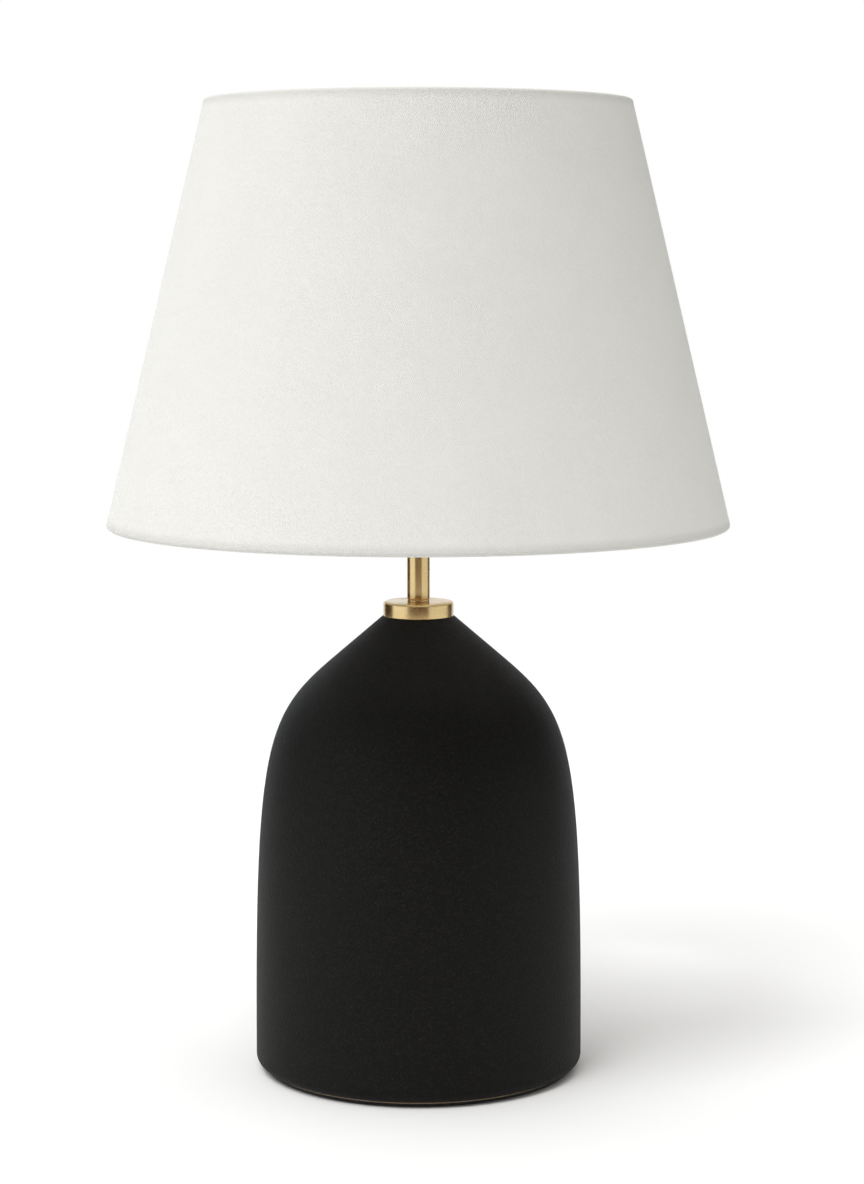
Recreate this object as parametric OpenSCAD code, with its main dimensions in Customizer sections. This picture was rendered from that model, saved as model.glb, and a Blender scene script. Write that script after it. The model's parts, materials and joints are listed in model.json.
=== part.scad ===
// Table lamp: a matt ceramic dome, a brass stem and a linen empire shade on a harp.
// Millimetres. +Z is up, +X is to the right, the front faces -Y.
// The origin is the centre of the felt pad's underside.

/* [Ceramic body] */
// Radius of the body just above its foot
body_r = 108.1; // [100:0.1:115]
// Height of the flat top of the body
body_top_z = 301.4; // [295:0.1:310]
// Radius of the flat top of the body
body_top_r = 23.5; // [23.2:0.1:26]
// Height where the straight cone turns into the curved shoulder
cone_end_z = 278.2; // [272:0.1:285]
// Angle of the cone from the vertical
cone_angle = 49.4; // [48:0.05:52]
// Pull of the shoulder curve along the cone
shoulder_pull = 64.5; // [50:0.5:70]
// Pull of the shoulder curve up the side wall
side_pull = 220; // [205:0.5:230]
// Radius of the rounding at the foot
foot_round_r = 6; // [4:0.5:6]
// Thickness of the ceramic wall
wall = 7; // [5:0.5:9]
// Thickness of the ceramic under the cap
top_wall = 8; // [6:0.5:10]
// Number of straight steps along the shoulder curve
curve_steps = 28; // [12:1:40]

/* [Foot] */
// Thickness of the felt pad
felt_h = 2.4; // [2:0.1:3]
// Radius of the felt pad
felt_r = 101.5; // [99:0.1:101.8]
// Thickness of the base plate's visible rim
plate_rim_h = 1; // [0.8:0.1:1.5]
// Radius of the base plate's visible rim
plate_rim_r = 101.9; // [100:0.1:102]
// Height of the base plate's raised middle above its rim
plate_core_h = 8; // [7:0.5:10]
// Radius of the base plate's raised middle
plate_core_r = 95.7; // [90:0.1:95.8]
// Radius of the recess for the nut under the base plate
nut_recess_r = 14; // [13:0.5:20]
// Depth of the recess for the nut
nut_recess_h = 6; // [5.5:0.5:7]
// Size of the nut across its flats
nut_flats = 14.3; // [13:0.1:16]
// Thickness of the nut
nut_h = 3.6; // [3:0.1:3.7]

/* [Stem] */
// Radius of the threaded rod, of the eighth-inch pipe size
rod_r = 4.85; // [4.8:0.05:4.9]
// Radius of the rod's bore
rod_bore_r = 3.25; // [3:0.05:3.4]
// Height of the rod's upper end
rod_top_z = 395; // [393:0.5:395.5]
// Radius of the clearance holes for the rod
rod_hole_r = 5.1; // [5:0.05:5.3]
// Radius of the brass cap
cap_r = 23.1; // [22:0.1:23.5]
// Height of the brass cap
cap_h = 9.6; // [8:0.1:12]
// Wall of the brass cap
cap_wall = 1.8; // [1.5:0.1:2.5]
// Rounding of the cap's upper edge
cap_round_r = 1.6; // [1:0.1:1.7]
// Height of the brass ring at the foot of the neck
neck_ring_h = 1.3; // [1:0.1:2]
// Radius of the brass ring at the foot of the neck
neck_ring_r = 7.2; // [6.5:0.1:7.4]
// Radius of the neck tube
neck_r = 7.5; // [7:0.05:7.6]
// Chamfer at both ends of the neck tube
neck_chamfer = 0.6; // [0.4:0.1:0.8]
// Height of the neck tube's upper end
neck_top_z = 386.5; // [386.5:0.5:387]

/* [Socket] */
// Radius of the socket cap
socket_cap_r = 17.1; // [17:0.1:17.4]
// Height of the socket cap
socket_cap_h = 18; // [17:0.5:19]
// Outer radius of the socket shell
shell_r = 16.2; // [16.1:0.05:16.25]
// Height of the socket shell
shell_h = 57; // [54:1:60]
// Outer radius of the insulating sleeve
sleeve_r = 15.4; // [15.3:0.05:15.5]
// Radius of the insulating core with the switch inside
core_r = 12.4; // [12:0.1:12.5]
// Height of the insulating core
core_h = 21; // [19:0.5:21]
// Inner radius of the screw shell
screw_shell_r = 13.35; // [13.3:0.05:13.5]
// Height of the screw shell
screw_shell_h = 24; // [20:1:26]

/* [Switch] */
// Radius of the switch shaft
switch_shaft_r = 1.6; // [1.5:0.05:1.8]
// Radius of the switch knob
switch_knob_r = 6.5; // [5.5:0.1:7]
// Length of the switch knob
switch_knob_len = 12; // [10:0.5:14]
// Number of grip flutes round the knob
switch_flutes = 16; // [12:1:20]

/* [Bulb] */
// Radius of the bulb
bulb_r = 30.15; // [29:0.05:30.5]
// Length of the bulb from its end contact to its top
bulb_len = 110; // [108:0.5:112]
// Radius of the bulb's screw cap
bulb_cap_r = 13; // [12.8:0.05:13]
// Radius of the bulb's neck just above the screw cap
bulb_neck_r = 13.3; // [13:0.1:13.8]
// Thickness of the bulb's glass
glass_wall = 0.9; // [0.7:0.1:1.2]

/* [Harp] */
// Radius of the harp wire
harp_wire_r = 1.6; // [1.5:0.05:1.6]
// Half the spacing of the harp's legs at the saddle
harp_leg_x = 28; // [27:0.5:30]
// Half the spacing of the harp's legs at their widest
harp_wide_x = 56; // [54:0.5:60]
// Height of the wire at the top of the harp
harp_top_z = 613.5; // [610:0.5:616]
// Lean of the leg between its two bends
harp_lean = 28; // [24:1:32]
// Radius of the harp's rounded shoulders
harp_shoulder_r = 46; // [36:1:48]
// Outer radius of the locking sleeves
lock_sleeve_r = 3; // [2.8:0.1:3.4]
// Length of the locking sleeves
lock_sleeve_h = 14; // [12:0.5:15]

/* [Shade] */
// Radius of the shade's lower edge
shade_bottom_r = 203.3; // [198:0.1:208]
// Radius of the shade's upper edge
shade_top_r = 137.4; // [134:0.1:142]
// Height of the shade's lower edge
shade_bottom_z = 361.4; // [358:0.1:364]
// Height of the shade's upper edge
shade_top_z = 636.4; // [635:0.1:638]
// Thickness of the fabric
fabric_t = 0.6; // [0.5:0.05:0.8]
// Thickness of the stiff liner
liner_t = 0.8; // [0.6:0.05:1]
// Radius of the ring wires
ring_wire_r = 1.6; // [1.4:0.05:1.8]
// Height of the fabric that is turned in behind each ring
hem_h = 10; // [8:0.5:14]
// Radius of the spider's arm wires
arm_wire_r = 1.4; // [1.2:0.05:1.5]
// Number of the spider's arms
arm_count = 3; // [3:1:4]

/* [Finial] */
// Radius of the threaded post that carries the shade
post_r = 3.17; // [3:0.01:3.2]
// Radius of the finial's knob
finial_knob_r = 7; // [6:0.1:7.5]
// Height of the finial
finial_h = 16.4; // [15:0.1:18]

/* [Wiring] */
// Radius of an insulated lead
lead_r = 0.9; // [0.8:0.05:0.95]
// Half the spacing of the leads inside the rod
lead_in_rod_x = 1.15; // [1.1:0.01:1.2]
// Half the spacing of the leads at the terminal block
lead_in_block_x = 5; // [4.5:0.1:5.5]
// Radius of the bore of the cord bushing
bushing_bore_r = 3.6; // [3:0.1:4]
// Height of the cord bushing's axis
bushing_z = 22; // [20:0.5:30]

/* [Hidden] */
$fn = 96;

// Colours
ceramic_black = "#1d1c1a";
satin_brass = "#b8965c";
shade_white = "#ece9e1";
board_brown = "#6b543c";
steel_grey = "#b4b6b8";
rubber_black = "#232323";

// Gaps
slip = 0.1;
cut = 1;
face_gap = 0.1;
joint_bead = 0.02;
hex_corner = cos(30);

// Foot
plate_z = felt_h;
ceramic_z = plate_z + plate_rim_h;
foot_top_z = ceramic_z + foot_round_r;
foot_inner_r = plate_core_r + 0.3;
plate_top_z = ceramic_z + plate_core_h;
recess_top_z = plate_z + nut_recess_h;
flat_washer_h = 1;
flat_washer_r = 12.7;
lock_washer_h = 0.8;
lock_washer_r = 8.6;
lock_washer_teeth = 10;
flat_washer_z = recess_top_z - flat_washer_h;
lock_washer_z = flat_washer_z - lock_washer_h;
nut_z = lock_washer_z - nut_h;

// Shoulder curve: four control points, each [radius, height]
cone_end_r = body_top_r + (body_top_z - cone_end_z) * tan(cone_angle);
shoulder = [
    [cone_end_r, cone_end_z],
    [cone_end_r + shoulder_pull * sin(cone_angle), cone_end_z - shoulder_pull * cos(cone_angle)],
    [body_r, foot_top_z + side_pull],
    [body_r, foot_top_z]
];
inner_top_z = body_top_z - top_wall;
// Inner face of the cone, a wall's thickness inside the outer one
inner_cone_r = cone_end_r - wall * cos(cone_angle);
inner_cone_z = cone_end_z - wall * sin(cone_angle);
inner_top_r = inner_cone_r - (inner_top_z - inner_cone_z) * tan(cone_angle);
top_hole_r = 7;

// Stem
cap_z = body_top_z;
cap_top_z = cap_z + cap_h;
neck_z = cap_top_z + neck_ring_h;
saddle_h = 1.5;
saddle_w = 12;
saddle_top_z = neck_top_z + saddle_h;
bush_r = top_hole_r - 0.2;
bush_flange_r = 11;
bush_flange_h = 1.6;
bush_depth = 7;
cord_seat_y = body_r - 0.6;

// Leads: bends and the straight stretches between them
lead_z = 18.4;
lead_bend_r = 24;
lead_start_y = 54;
lead_straight = 6;
jog_r = 20;
jog_angle = 12;
jog_len = (lead_in_block_x - lead_in_rod_x - 2 * jog_r * (1 - cos(jog_angle))) / sin(jog_angle);
jog_run = 2 * jog_r * sin(jog_angle) + jog_len * cos(jog_angle);
lead_exit_z = rod_top_z + 3 * slip;
lead_terminal_x = core_r + 2 * slip + lead_r;
fan_r = 5;
fan_angle = 70;
fan_len = (lead_terminal_x - lead_in_rod_x - 2 * fan_r * (1 - cos(fan_angle))) / sin(fan_angle);
fan_rise = 2 * fan_r * sin(fan_angle) + fan_len * cos(fan_angle);

// Terminal block
block_w = 24;
block_d = 20;
block_h = 14;
block_y = 60;
block_wire_r = 1.4;
block_screw_r = 1.6;
block_screw_depth = 5;
block_fixing_r = 1.5;
block_fixing_head_r = 2.8;
block_fixing_depth = 6;
block_counterbore = 4;

// Socket
socket_z = saddle_top_z;
socket_floor_h = 2;
hub_r = 8;
hub_h = 8;
ledge_h = 14;
ledge_z = socket_z + ledge_h;
ledge_r = 13;
socket_cap_inner_r = shell_r + 2 * slip;
shell_wall = 0.6;
sleeve_wall = 0.7;
shell_lip_h = 3;
sleeve_h = shell_h - shell_lip_h;
core_gap = 5;
core_z = ledge_z + core_gap;
core_top_z = core_z + core_h;
lug_w = 8;
lug_h = 8;
screw_shell_wall = 0.4;
contact_r = 4;
contact_h = 1.4;
terminal_screw_h = 5;
terminal_screw_z = core_z + terminal_screw_h;
terminal_screw_r = 1.2;
terminal_head_r = 2.4;
terminal_head_h = 1.6;
terminal_depth = 4;

// Switch
switch_h = 10;
switch_z = core_z + switch_h;
switch_hole_r = 3.5;
switch_shaft_in = 3;
switch_knob_start = 21;
switch_shaft_end = 30;
flute_r = 0.9;

// Bulb
bulb_gap = 0.15;
bulb_z = core_top_z + contact_h + bulb_gap;
end_contact_h = 1.45;
bulb_insulator_h = 5;
bulb_cap_z = bulb_z + end_contact_h + bulb_insulator_h;
bulb_cap_h = 19;
bulb_neck_z = bulb_cap_z + bulb_cap_h;
bulb_centre_z = bulb_z + bulb_len - bulb_r;
thread_count = 5;
thread_pitch = 3.6;
thread_depth = 0.7;
neck_blend_angle = 35;
neck_pull = 15;
blend_pull = 14;
stem_h = 32;
filament_drop = 4;
filament_z = bulb_centre_z - filament_drop;
filament_half = 11;

// Harp
leg_gap = 0.15;
saddle_post_h = 14;
post_top_z = saddle_top_z + saddle_post_h;
collar_h = 6.8;
collar_r = 2.6;
leg_z = post_top_z + leg_gap;
leg_straight = 22;
lower_bend_r = 30;
upper_bend_r = 60;
lean_shift = (lower_bend_r + upper_bend_r) * (1 - cos(harp_lean));
lean_len = (harp_wide_x - harp_leg_x - lean_shift) / sin(harp_lean);
lean_top_z = leg_z + leg_straight + (lower_bend_r + upper_bend_r) * sin(harp_lean)
    + lean_len * cos(harp_lean);
leg_upper = harp_top_z - harp_shoulder_r - lean_top_z;
lock_sleeve_z = post_top_z - lock_sleeve_h / 2;
eye_r = 5.5;
eye_h = 5;
rivet_r = 1.85;
rivet_head_r = 3.4;
rivet_head_h = 1.4;
stud_flange_r = 6.5;
stud_flange_h = 1.4;
eye_z = harp_top_z - eye_h / 2;
stud_z = eye_z + eye_h + face_gap;
post_z = stud_z + stud_flange_h;
post_h = 13.5;

// Shade: its wall is drawn along its own slope, x outward and y up the wall
shade_h = shade_top_z - shade_bottom_z;
shade_lean = atan((shade_bottom_r - shade_top_r) / shade_h);
shade_slant = norm([shade_bottom_r - shade_top_r, shade_h]);
roll_r = ring_wire_r + fabric_t + slip;
tuck_x = fabric_t + liner_t + 2 * slip;
tuck_angle = 40;
liner_start = 2 * roll_r + slip;
ring_inset = [-roll_r, roll_r];
top_ring_r = shade_bottom_r - roll_r * cos(shade_lean) - (shade_slant - roll_r) * sin(shade_lean);
top_ring_z = shade_bottom_z - roll_r * sin(shade_lean) + (shade_slant - roll_r) * cos(shade_lean);
washer_r = 12.5;
washer_hole_r = 3.5;
washer_h = 1.5;
washer_z = post_z + face_gap;
arm_start_r = 9.5;
arm_bend_r = 12;
arm_bend_angle = 35;
arm_rise = top_ring_z - washer_z - washer_h / 2;
arm_slope_len = (arm_rise - arm_bend_r * (1 - cos(arm_bend_angle))) / sin(arm_bend_angle);
arm_flat_len = top_ring_r - arm_start_r - arm_bend_r * sin(arm_bend_angle)
    - arm_slope_len * cos(arm_bend_angle);
first_arm = 90;

// Finial
finial_z = washer_z + washer_h + face_gap;
finial_bore_r = post_r + slip;
finial_bore_end = 1;
finial_bore_h = post_z + post_h + finial_bore_end - finial_z;
finial_foot_r = 6.5;
finial_foot_h = 2;
finial_waist_r = 4.6;

// Point at t on a curve with four control points
function bezier(p, t) =
    pow(1 - t, 3) * p[0] + 3 * pow(1 - t, 2) * t * p[1]
    + 3 * (1 - t) * pow(t, 2) * p[2] + pow(t, 3) * p[3];

// Direction of the same curve at t, of length one
function bezier_heading(p, t) =
    let (d = pow(1 - t, 2) * (p[1] - p[0]) + 2 * (1 - t) * t * (p[2] - p[1])
        + pow(t, 2) * (p[3] - p[2]))
    d / norm(d);

// The curve moved sideways, to the right of its heading
function bezier_inset(p, t, by) =
    let (h = bezier_heading(p, t))
    bezier(p, t) + by * [h[1], -h[0]];

// Points on an arc round a centre
function arc(centre, r, from, to, steps) =
    [for (i = [0:steps]) let (a = from + (to - from) * i / steps) centre + r * [cos(a), sin(a)]];

// A ring or tube standing on the plane z = 0
module tube(outer_r, inner_r, h) {
    difference() {
        cylinder(r = outer_r, h = h);
        translate([0, 0, -cut]) cylinder(r = inner_r, h = h + 2 * cut);
    }
}

// A round wire that starts upward. A run is [length] for a straight stretch,
// or [bend radius, angle, side] for a bend towards that side.
// A ball just wider than the wire joins each run to the next.
module wire(runs, r, i = 0) {
    if (i < len(runs)) {
        run = runs[i];
        if (i > 0) sphere(r = r + joint_bead);
        if (len(run) == 1) {
            cylinder(r = r, h = run[0]);
            translate([0, 0, run[0]]) wire(runs, r, i + 1);
        } else {
            rotate(run[2]) {
                translate([run[0], 0, 0]) mirror([1, 0, 0]) rotate([90, 0, 0])
                    rotate_extrude(angle = run[1]) translate([run[0], 0]) circle(r = r);
                translate([run[0], 0, 0]) rotate([0, run[1], 0]) translate([-run[0], 0, 0])
                    rotate(-run[2]) wire(runs, r, i + 1);
            }
        }
    }
}

// A closed outline along the shade's wall, turned round the axis
module along_shade() {
    rotate_extrude(angle = 360)
        translate([shade_bottom_r, shade_bottom_z]) rotate(shade_lean) children();
}

module felt_pad() {
    color("#1b1b1b") cylinder(r = felt_r, h = felt_h);
}

module base_plate() {
    color(board_brown) difference() {
        union() {
            translate([0, 0, plate_z]) cylinder(r = plate_rim_r, h = plate_rim_h);
            translate([0, 0, plate_z]) cylinder(r = plate_core_r, h = plate_top_z - plate_z);
        }
        translate([0, 0, plate_z - cut]) cylinder(r = nut_recess_r, h = nut_recess_h + cut);
        translate([0, 0, plate_z]) cylinder(r = rod_hole_r, h = plate_top_z);
        translate([0, block_y, plate_top_z - block_fixing_depth])
            cylinder(r = block_fixing_r, h = block_fixing_depth + cut);
    }
}

module base_nut() {
    color(steel_grey) translate([0, 0, nut_z]) difference() {
        cylinder(r = nut_flats / 2 / hex_corner, h = nut_h, $fn = 6);
        translate([0, 0, -cut]) cylinder(r = rod_r + slip, h = nut_h + 2 * cut);
    }
}

module lock_washer() {
    notch_w = 1.2;
    notch_in_r = 6.6;
    color(steel_grey) translate([0, 0, lock_washer_z]) difference() {
        tube(lock_washer_r, rod_hole_r, lock_washer_h);
        for (i = [0:lock_washer_teeth - 1])
            rotate(i * 360 / lock_washer_teeth)
                translate([notch_in_r, -notch_w / 2, -cut]) cube([lock_washer_r, notch_w, 3 * cut]);
    }
}

module flat_washer() {
    color(steel_grey) translate([0, 0, flat_washer_z]) tube(flat_washer_r, rod_hole_r, flat_washer_h);
}

module ceramic_outline() {
    foot_arc = arc([body_r - foot_round_r, foot_top_z], foot_round_r, -90, 0, 8);
    outer = [for (i = [curve_steps - 1:-1:0]) bezier(shoulder, i / curve_steps)];
    inner = [for (i = [0:curve_steps]) bezier_inset(shoulder, i / curve_steps, wall)];
    polygon(concat(
        foot_arc,
        outer,
        [[body_top_r, body_top_z], [top_hole_r, body_top_z]],
        [[top_hole_r, inner_top_z], [inner_top_r, inner_top_z]],
        inner,
        [[foot_inner_r, foot_top_z], [foot_inner_r, ceramic_z]]
    ));
}

module ceramic_body() {
    seat_r = 8.4;
    hole_r = 5.2;
    color(ceramic_black) difference() {
        rotate_extrude(angle = 360) ceramic_outline();
        translate([0, 0, bushing_z]) rotate([-90, 0, 0]) {
            translate([0, 0, body_r - 3 * wall]) cylinder(r = hole_r, h = 4 * wall);
            translate([0, 0, cord_seat_y]) cylinder(r = seat_r, h = wall);
        }
    }
}

module rod_bush() {
    color(rubber_black) {
        translate([0, 0, body_top_z]) tube(bush_flange_r, rod_hole_r, bush_flange_h);
        translate([0, 0, body_top_z - bush_depth]) tube(bush_r, rod_hole_r, bush_depth);
    }
}

module cord_bushing() {
    flange_r = 8;
    flange_h = 2;
    barrel_r = 5;
    barrel_len = 10;
    color(rubber_black) translate([0, cord_seat_y, bushing_z]) rotate([-90, 0, 0]) difference() {
        union() {
            cylinder(r = flange_r, h = flange_h);
            translate([0, 0, -barrel_len]) cylinder(r = barrel_r, h = barrel_len);
        }
        translate([0, 0, -barrel_len - cut])
            cylinder(r = bushing_bore_r, h = barrel_len + flange_h + 2 * cut);
    }
}

module threaded_rod() {
    slot_w = 5;
    slot_z = 26;
    slot_h = 17;
    color(steel_grey) difference() {
        translate([0, 0, nut_z]) cylinder(r = rod_r, h = rod_top_z - nut_z);
        translate([0, 0, nut_z - cut]) cylinder(r = rod_bore_r, h = rod_top_z);
        translate([-slot_w / 2, 0, slot_z]) cube([slot_w, 2 * rod_r, slot_h]);
    }
}

module brass_cap() {
    lower_edge = 0.5;
    color(satin_brass) difference() {
        translate([0, 0, cap_z]) rotate_extrude(angle = 360) polygon(concat(
            [[rod_hole_r, 0], [cap_r - lower_edge, 0], [cap_r, lower_edge]],
            arc([cap_r - cap_round_r, cap_h - cap_round_r], cap_round_r, 0, 90, 6),
            [[rod_hole_r, cap_h]]
        ));
        translate([0, 0, cap_z - cut]) cylinder(r = cap_r - cap_wall, h = cap_h - cap_wall + cut);
    }
}

module neck_ring() {
    color(satin_brass) translate([0, 0, cap_top_z]) tube(neck_ring_r, rod_hole_r, neck_ring_h);
}

module neck_tube() {
    color(satin_brass) rotate_extrude(angle = 360) polygon([
        [rod_hole_r + slip, neck_z], [neck_r - neck_chamfer, neck_z],
        [neck_r, neck_z + neck_chamfer], [neck_r, neck_top_z - neck_chamfer],
        [neck_r - neck_chamfer, neck_top_z], [rod_hole_r + slip, neck_top_z]
    ]);
}

module harp_saddle() {
    color(satin_brass) {
        translate([0, 0, neck_top_z]) difference() {
            union() {
                translate([-harp_leg_x, -saddle_w / 2, 0]) cube([2 * harp_leg_x, saddle_w, saddle_h]);
                for (side = [-1, 1]) translate([side * harp_leg_x, 0, 0])
                    cylinder(r = saddle_w / 2, h = saddle_h);
            }
            translate([0, 0, -cut]) cylinder(r = rod_hole_r, h = saddle_h + 2 * cut);
        }
        for (side = [-1, 1]) translate([side * harp_leg_x, 0, saddle_top_z]) {
            cylinder(r = harp_wire_r, h = post_top_z - saddle_top_z);
            cylinder(r = collar_r, h = collar_h);
        }
    }
}

module terminal_block() {
    color("#e8e6df") translate([0, block_y, plate_top_z]) difference() {
        translate([-block_w / 2, -block_d / 2, 0]) cube([block_w, block_d, block_h]);
        for (side = [-1, 1]) translate([side * lead_in_block_x, 0, 0]) {
            for (face = [-1, 1]) translate([0, face * block_d / 2, lead_z - plate_top_z])
                rotate([face * 90, 0, 0]) cylinder(r = block_wire_r, h = block_d / 2 - cut);
            for (row = [-1, 1]) translate([0, row * block_d / 4, block_h - block_screw_depth])
                cylinder(r = block_screw_r, h = block_screw_depth + cut);
        }
        translate([0, 0, -cut]) cylinder(r = block_fixing_r, h = block_h + 2 * cut);
        translate([0, 0, block_h - block_counterbore]) cylinder(r = block_fixing_head_r, h = block_h);
    }
}

module block_clamp_screws() {
    screw_h = 3.2;
    slot_w = 0.5;
    slot_d = 0.8;
    screw_z = plate_top_z + block_h - block_screw_depth;
    color(steel_grey) for (side = [-1, 1]) for (row = [-1, 1])
        translate([side * lead_in_block_x, block_y + row * block_d / 4, screw_z])
            difference() {
                cylinder(r = block_screw_r - slip, h = screw_h);
                translate([-block_screw_r, -slot_w / 2, screw_h - slot_d])
                    cube([2 * block_screw_r, slot_w, cut]);
            }
}

module block_fixing_screw() {
    head_h = 1.8;
    slot_w = 0.6;
    slot_d = 0.8;
    tip_gap = 1;
    seat_z = plate_top_z + block_h - block_counterbore;
    shank_h = seat_z - plate_top_z + block_fixing_depth - tip_gap;
    color(steel_grey) translate([0, block_y, seat_z]) difference() {
        union() {
            cylinder(r = block_fixing_head_r - 2 * slip, h = head_h);
            translate([0, 0, -shank_h]) cylinder(r = block_fixing_r - slip, h = shank_h);
        }
        translate([-block_fixing_head_r, -slot_w / 2, head_h - slot_d])
            cube([2 * block_fixing_head_r, slot_w, cut]);
    }
}

// The right-hand lead, from the terminal block through the rod to the socket's screw
module lead() {
    rise = lead_exit_z - lead_z - lead_bend_r;
    reach = lead_start_y - lead_straight - jog_run - lead_bend_r;
    translate([lead_in_block_x, lead_start_y, lead_z]) rotate([90, 0, 0]) wire([
        [lead_straight],
        [jog_r, jog_angle, 180],
        [jog_len],
        [jog_r, jog_angle, 0],
        [reach],
        [lead_bend_r, 90, 90],
        [rise],
        [fan_r, fan_angle, 0],
        [fan_len],
        [fan_r, fan_angle, 180],
        [terminal_screw_z - terminal_head_r - 2 * slip - lead_exit_z - fan_rise]
    ], lead_r, $fn = 32);
}

module live_lead() {
    color("#2a2a2a") lead();
}

module neutral_lead() {
    color("#e2e2de") mirror([1, 0, 0]) lead();
}

module socket_cap() {
    bowl_round_r = 6;
    inner_bevel = 3;
    color(satin_brass) translate([0, 0, socket_z]) rotate_extrude(angle = 360) polygon(concat(
        [[rod_r + slip, 0]],
        arc([socket_cap_r - bowl_round_r, bowl_round_r], bowl_round_r, -90, 0, 8),
        [[socket_cap_r, socket_cap_h], [socket_cap_inner_r, socket_cap_h]],
        [[socket_cap_inner_r, ledge_h], [ledge_r, ledge_h]],
        [[ledge_r, socket_floor_h + inner_bevel], [ledge_r - inner_bevel, socket_floor_h]],
        [[hub_r, socket_floor_h], [hub_r, hub_h], [rod_r + slip, hub_h]]
    ));
}

module switch_opening(r) {
    translate([0, 0, switch_z]) rotate([90, 0, 0]) cylinder(r = r, h = 2 * shell_r);
}

module socket_shell() {
    flare = 0.9;
    color(satin_brass) difference() {
        translate([0, 0, ledge_z]) rotate_extrude(angle = 360) polygon([
            [shell_r - shell_wall, 0], [shell_r, 0], [shell_r, shell_h - 2 * flare],
            [shell_r + flare, shell_h - flare], [shell_r + flare, shell_h],
            [shell_r - shell_wall, shell_h - 2 * flare]
        ]);
        switch_opening(switch_hole_r);
    }
}

module insulating_sleeve() {
    color("#c9b48f") difference() {
        translate([0, 0, ledge_z]) tube(sleeve_r, sleeve_r - sleeve_wall, sleeve_h);
        switch_opening(switch_hole_r);
    }
}

module socket_core() {
    lug_inner_y = 10.4;
    lug_outer_y = 14;
    shaft_play = 0.08;
    color("#2b2320") difference() {
        union() {
            translate([0, 0, core_z]) cylinder(r = core_r, h = core_h);
            for (side = [0, 180]) rotate(side) translate([-lug_w / 2, lug_inner_y, ledge_z])
                cube([lug_w, lug_outer_y - lug_inner_y, lug_h]);
        }
        translate([0, -switch_shaft_in + 2 * slip, switch_z]) rotate([90, 0, 0])
            cylinder(r = switch_shaft_r + shaft_play, h = core_r);
        for (side = [-1, 1]) translate([side * (core_r + cut), 0, terminal_screw_z])
            rotate([0, -side * 90, 0]) cylinder(r = terminal_screw_r + slip, h = terminal_depth + 2 * cut);
    }
}

module screw_shell() {
    color("#c8c4b8") translate([0, 0, core_top_z])
        tube(screw_shell_r + screw_shell_wall, screw_shell_r, screw_shell_h);
}

module centre_contact() {
    color("#c9a55c") translate([0, 0, core_top_z]) cylinder(r = contact_r, h = contact_h);
}

module socket_terminal_screws() {
    slot_w = 0.5;
    slot_d = 0.7;
    color("#c9a55c") for (side = [-1, 1])
        translate([side * core_r, 0, terminal_screw_z]) rotate([0, side * 90, 0]) difference() {
            union() {
                translate([0, 0, -terminal_depth]) cylinder(r = terminal_screw_r, h = terminal_depth);
                cylinder(r = terminal_head_r, h = terminal_head_h);
            }
            translate([-terminal_head_r, -slot_w / 2, terminal_head_h - slot_d])
                cube([2 * terminal_head_r, slot_w, cut]);
        }
}

module switch_shaft() {
    color(satin_brass) translate([0, -switch_shaft_in, switch_z]) rotate([90, 0, 0])
        cylinder(r = switch_shaft_r, h = switch_shaft_end - switch_shaft_in);
}

module switch_knob() {
    edge = 1;
    flute_x = switch_knob_r + 0.3;
    color("#1f1d1b") translate([0, -switch_knob_start, switch_z]) rotate([90, 0, 0]) difference() {
        rotate_extrude(angle = 360) polygon([
            [0, 0], [switch_knob_r - edge, 0], [switch_knob_r, edge],
            [switch_knob_r, switch_knob_len - edge], [switch_knob_r - edge, switch_knob_len],
            [0, switch_knob_len]
        ]);
        translate([0, 0, -cut])
            cylinder(r = switch_shaft_r + slip / 2, h = switch_shaft_end - switch_knob_start + cut);
        for (i = [0:switch_flutes - 1]) rotate(i * 360 / switch_flutes)
            translate([flute_x, 0, -cut])
                cylinder(r = flute_r, h = switch_knob_len + 2 * cut, $fn = 16);
    }
}

// Outline of the bulb's glass from the neck to the top, set in by a thickness
function bulb_profile(inset) =
    let (
        a = neck_blend_angle,
        centre = [0, bulb_centre_z],
        r = bulb_r - inset,
        joint = centre + r * [cos(a), -sin(a)],
        neck = [
            [bulb_neck_r - inset, bulb_neck_z],
            [bulb_neck_r - inset, bulb_neck_z + neck_pull],
            joint - blend_pull * [sin(a), cos(a)],
            joint
        ]
    )
    concat(
        [for (i = [0:10]) bezier(neck, i / 10)],
        [for (i = [1:20]) centre + r * [cos(-a + (90 + a) * i / 20), sin(-a + (90 + a) * i / 20)]]
    );

module bulb_glass() {
    color("#f4f2ec") rotate_extrude(angle = 360) difference() {
        polygon(concat([[0, bulb_neck_z]], bulb_profile(0)));
        polygon(concat([[0, bulb_neck_z]], bulb_profile(glass_wall)));
    }
}

module bulb_screw_cap() {
    root_r = bulb_cap_r - thread_depth;
    lip_r = 10;
    lip_h = 0.6;
    first_z = 2;
    sunk = 0.5;
    root_half = 1;
    crest_half = 0.3;
    shell_t = 0.8;
    color("#cfd0cf") translate([0, 0, bulb_cap_z]) difference() {
        union() {
            cylinder(r = root_r, h = bulb_cap_h);
            for (i = [0:thread_count - 1]) translate([0, 0, first_z + i * thread_pitch])
                rotate_extrude(angle = 360) polygon([
                    [root_r - sunk, -root_half], [root_r, -root_half],
                    [bulb_cap_r, -crest_half], [bulb_cap_r, crest_half],
                    [root_r, root_half], [root_r - sunk, root_half]
                ]);
        }
        translate([0, 0, -cut]) cylinder(r = lip_r, h = bulb_cap_h + 2 * cut);
        translate([0, 0, lip_h]) cylinder(r = root_r - shell_t, h = bulb_cap_h - 2 * lip_h);
    }
}

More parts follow.
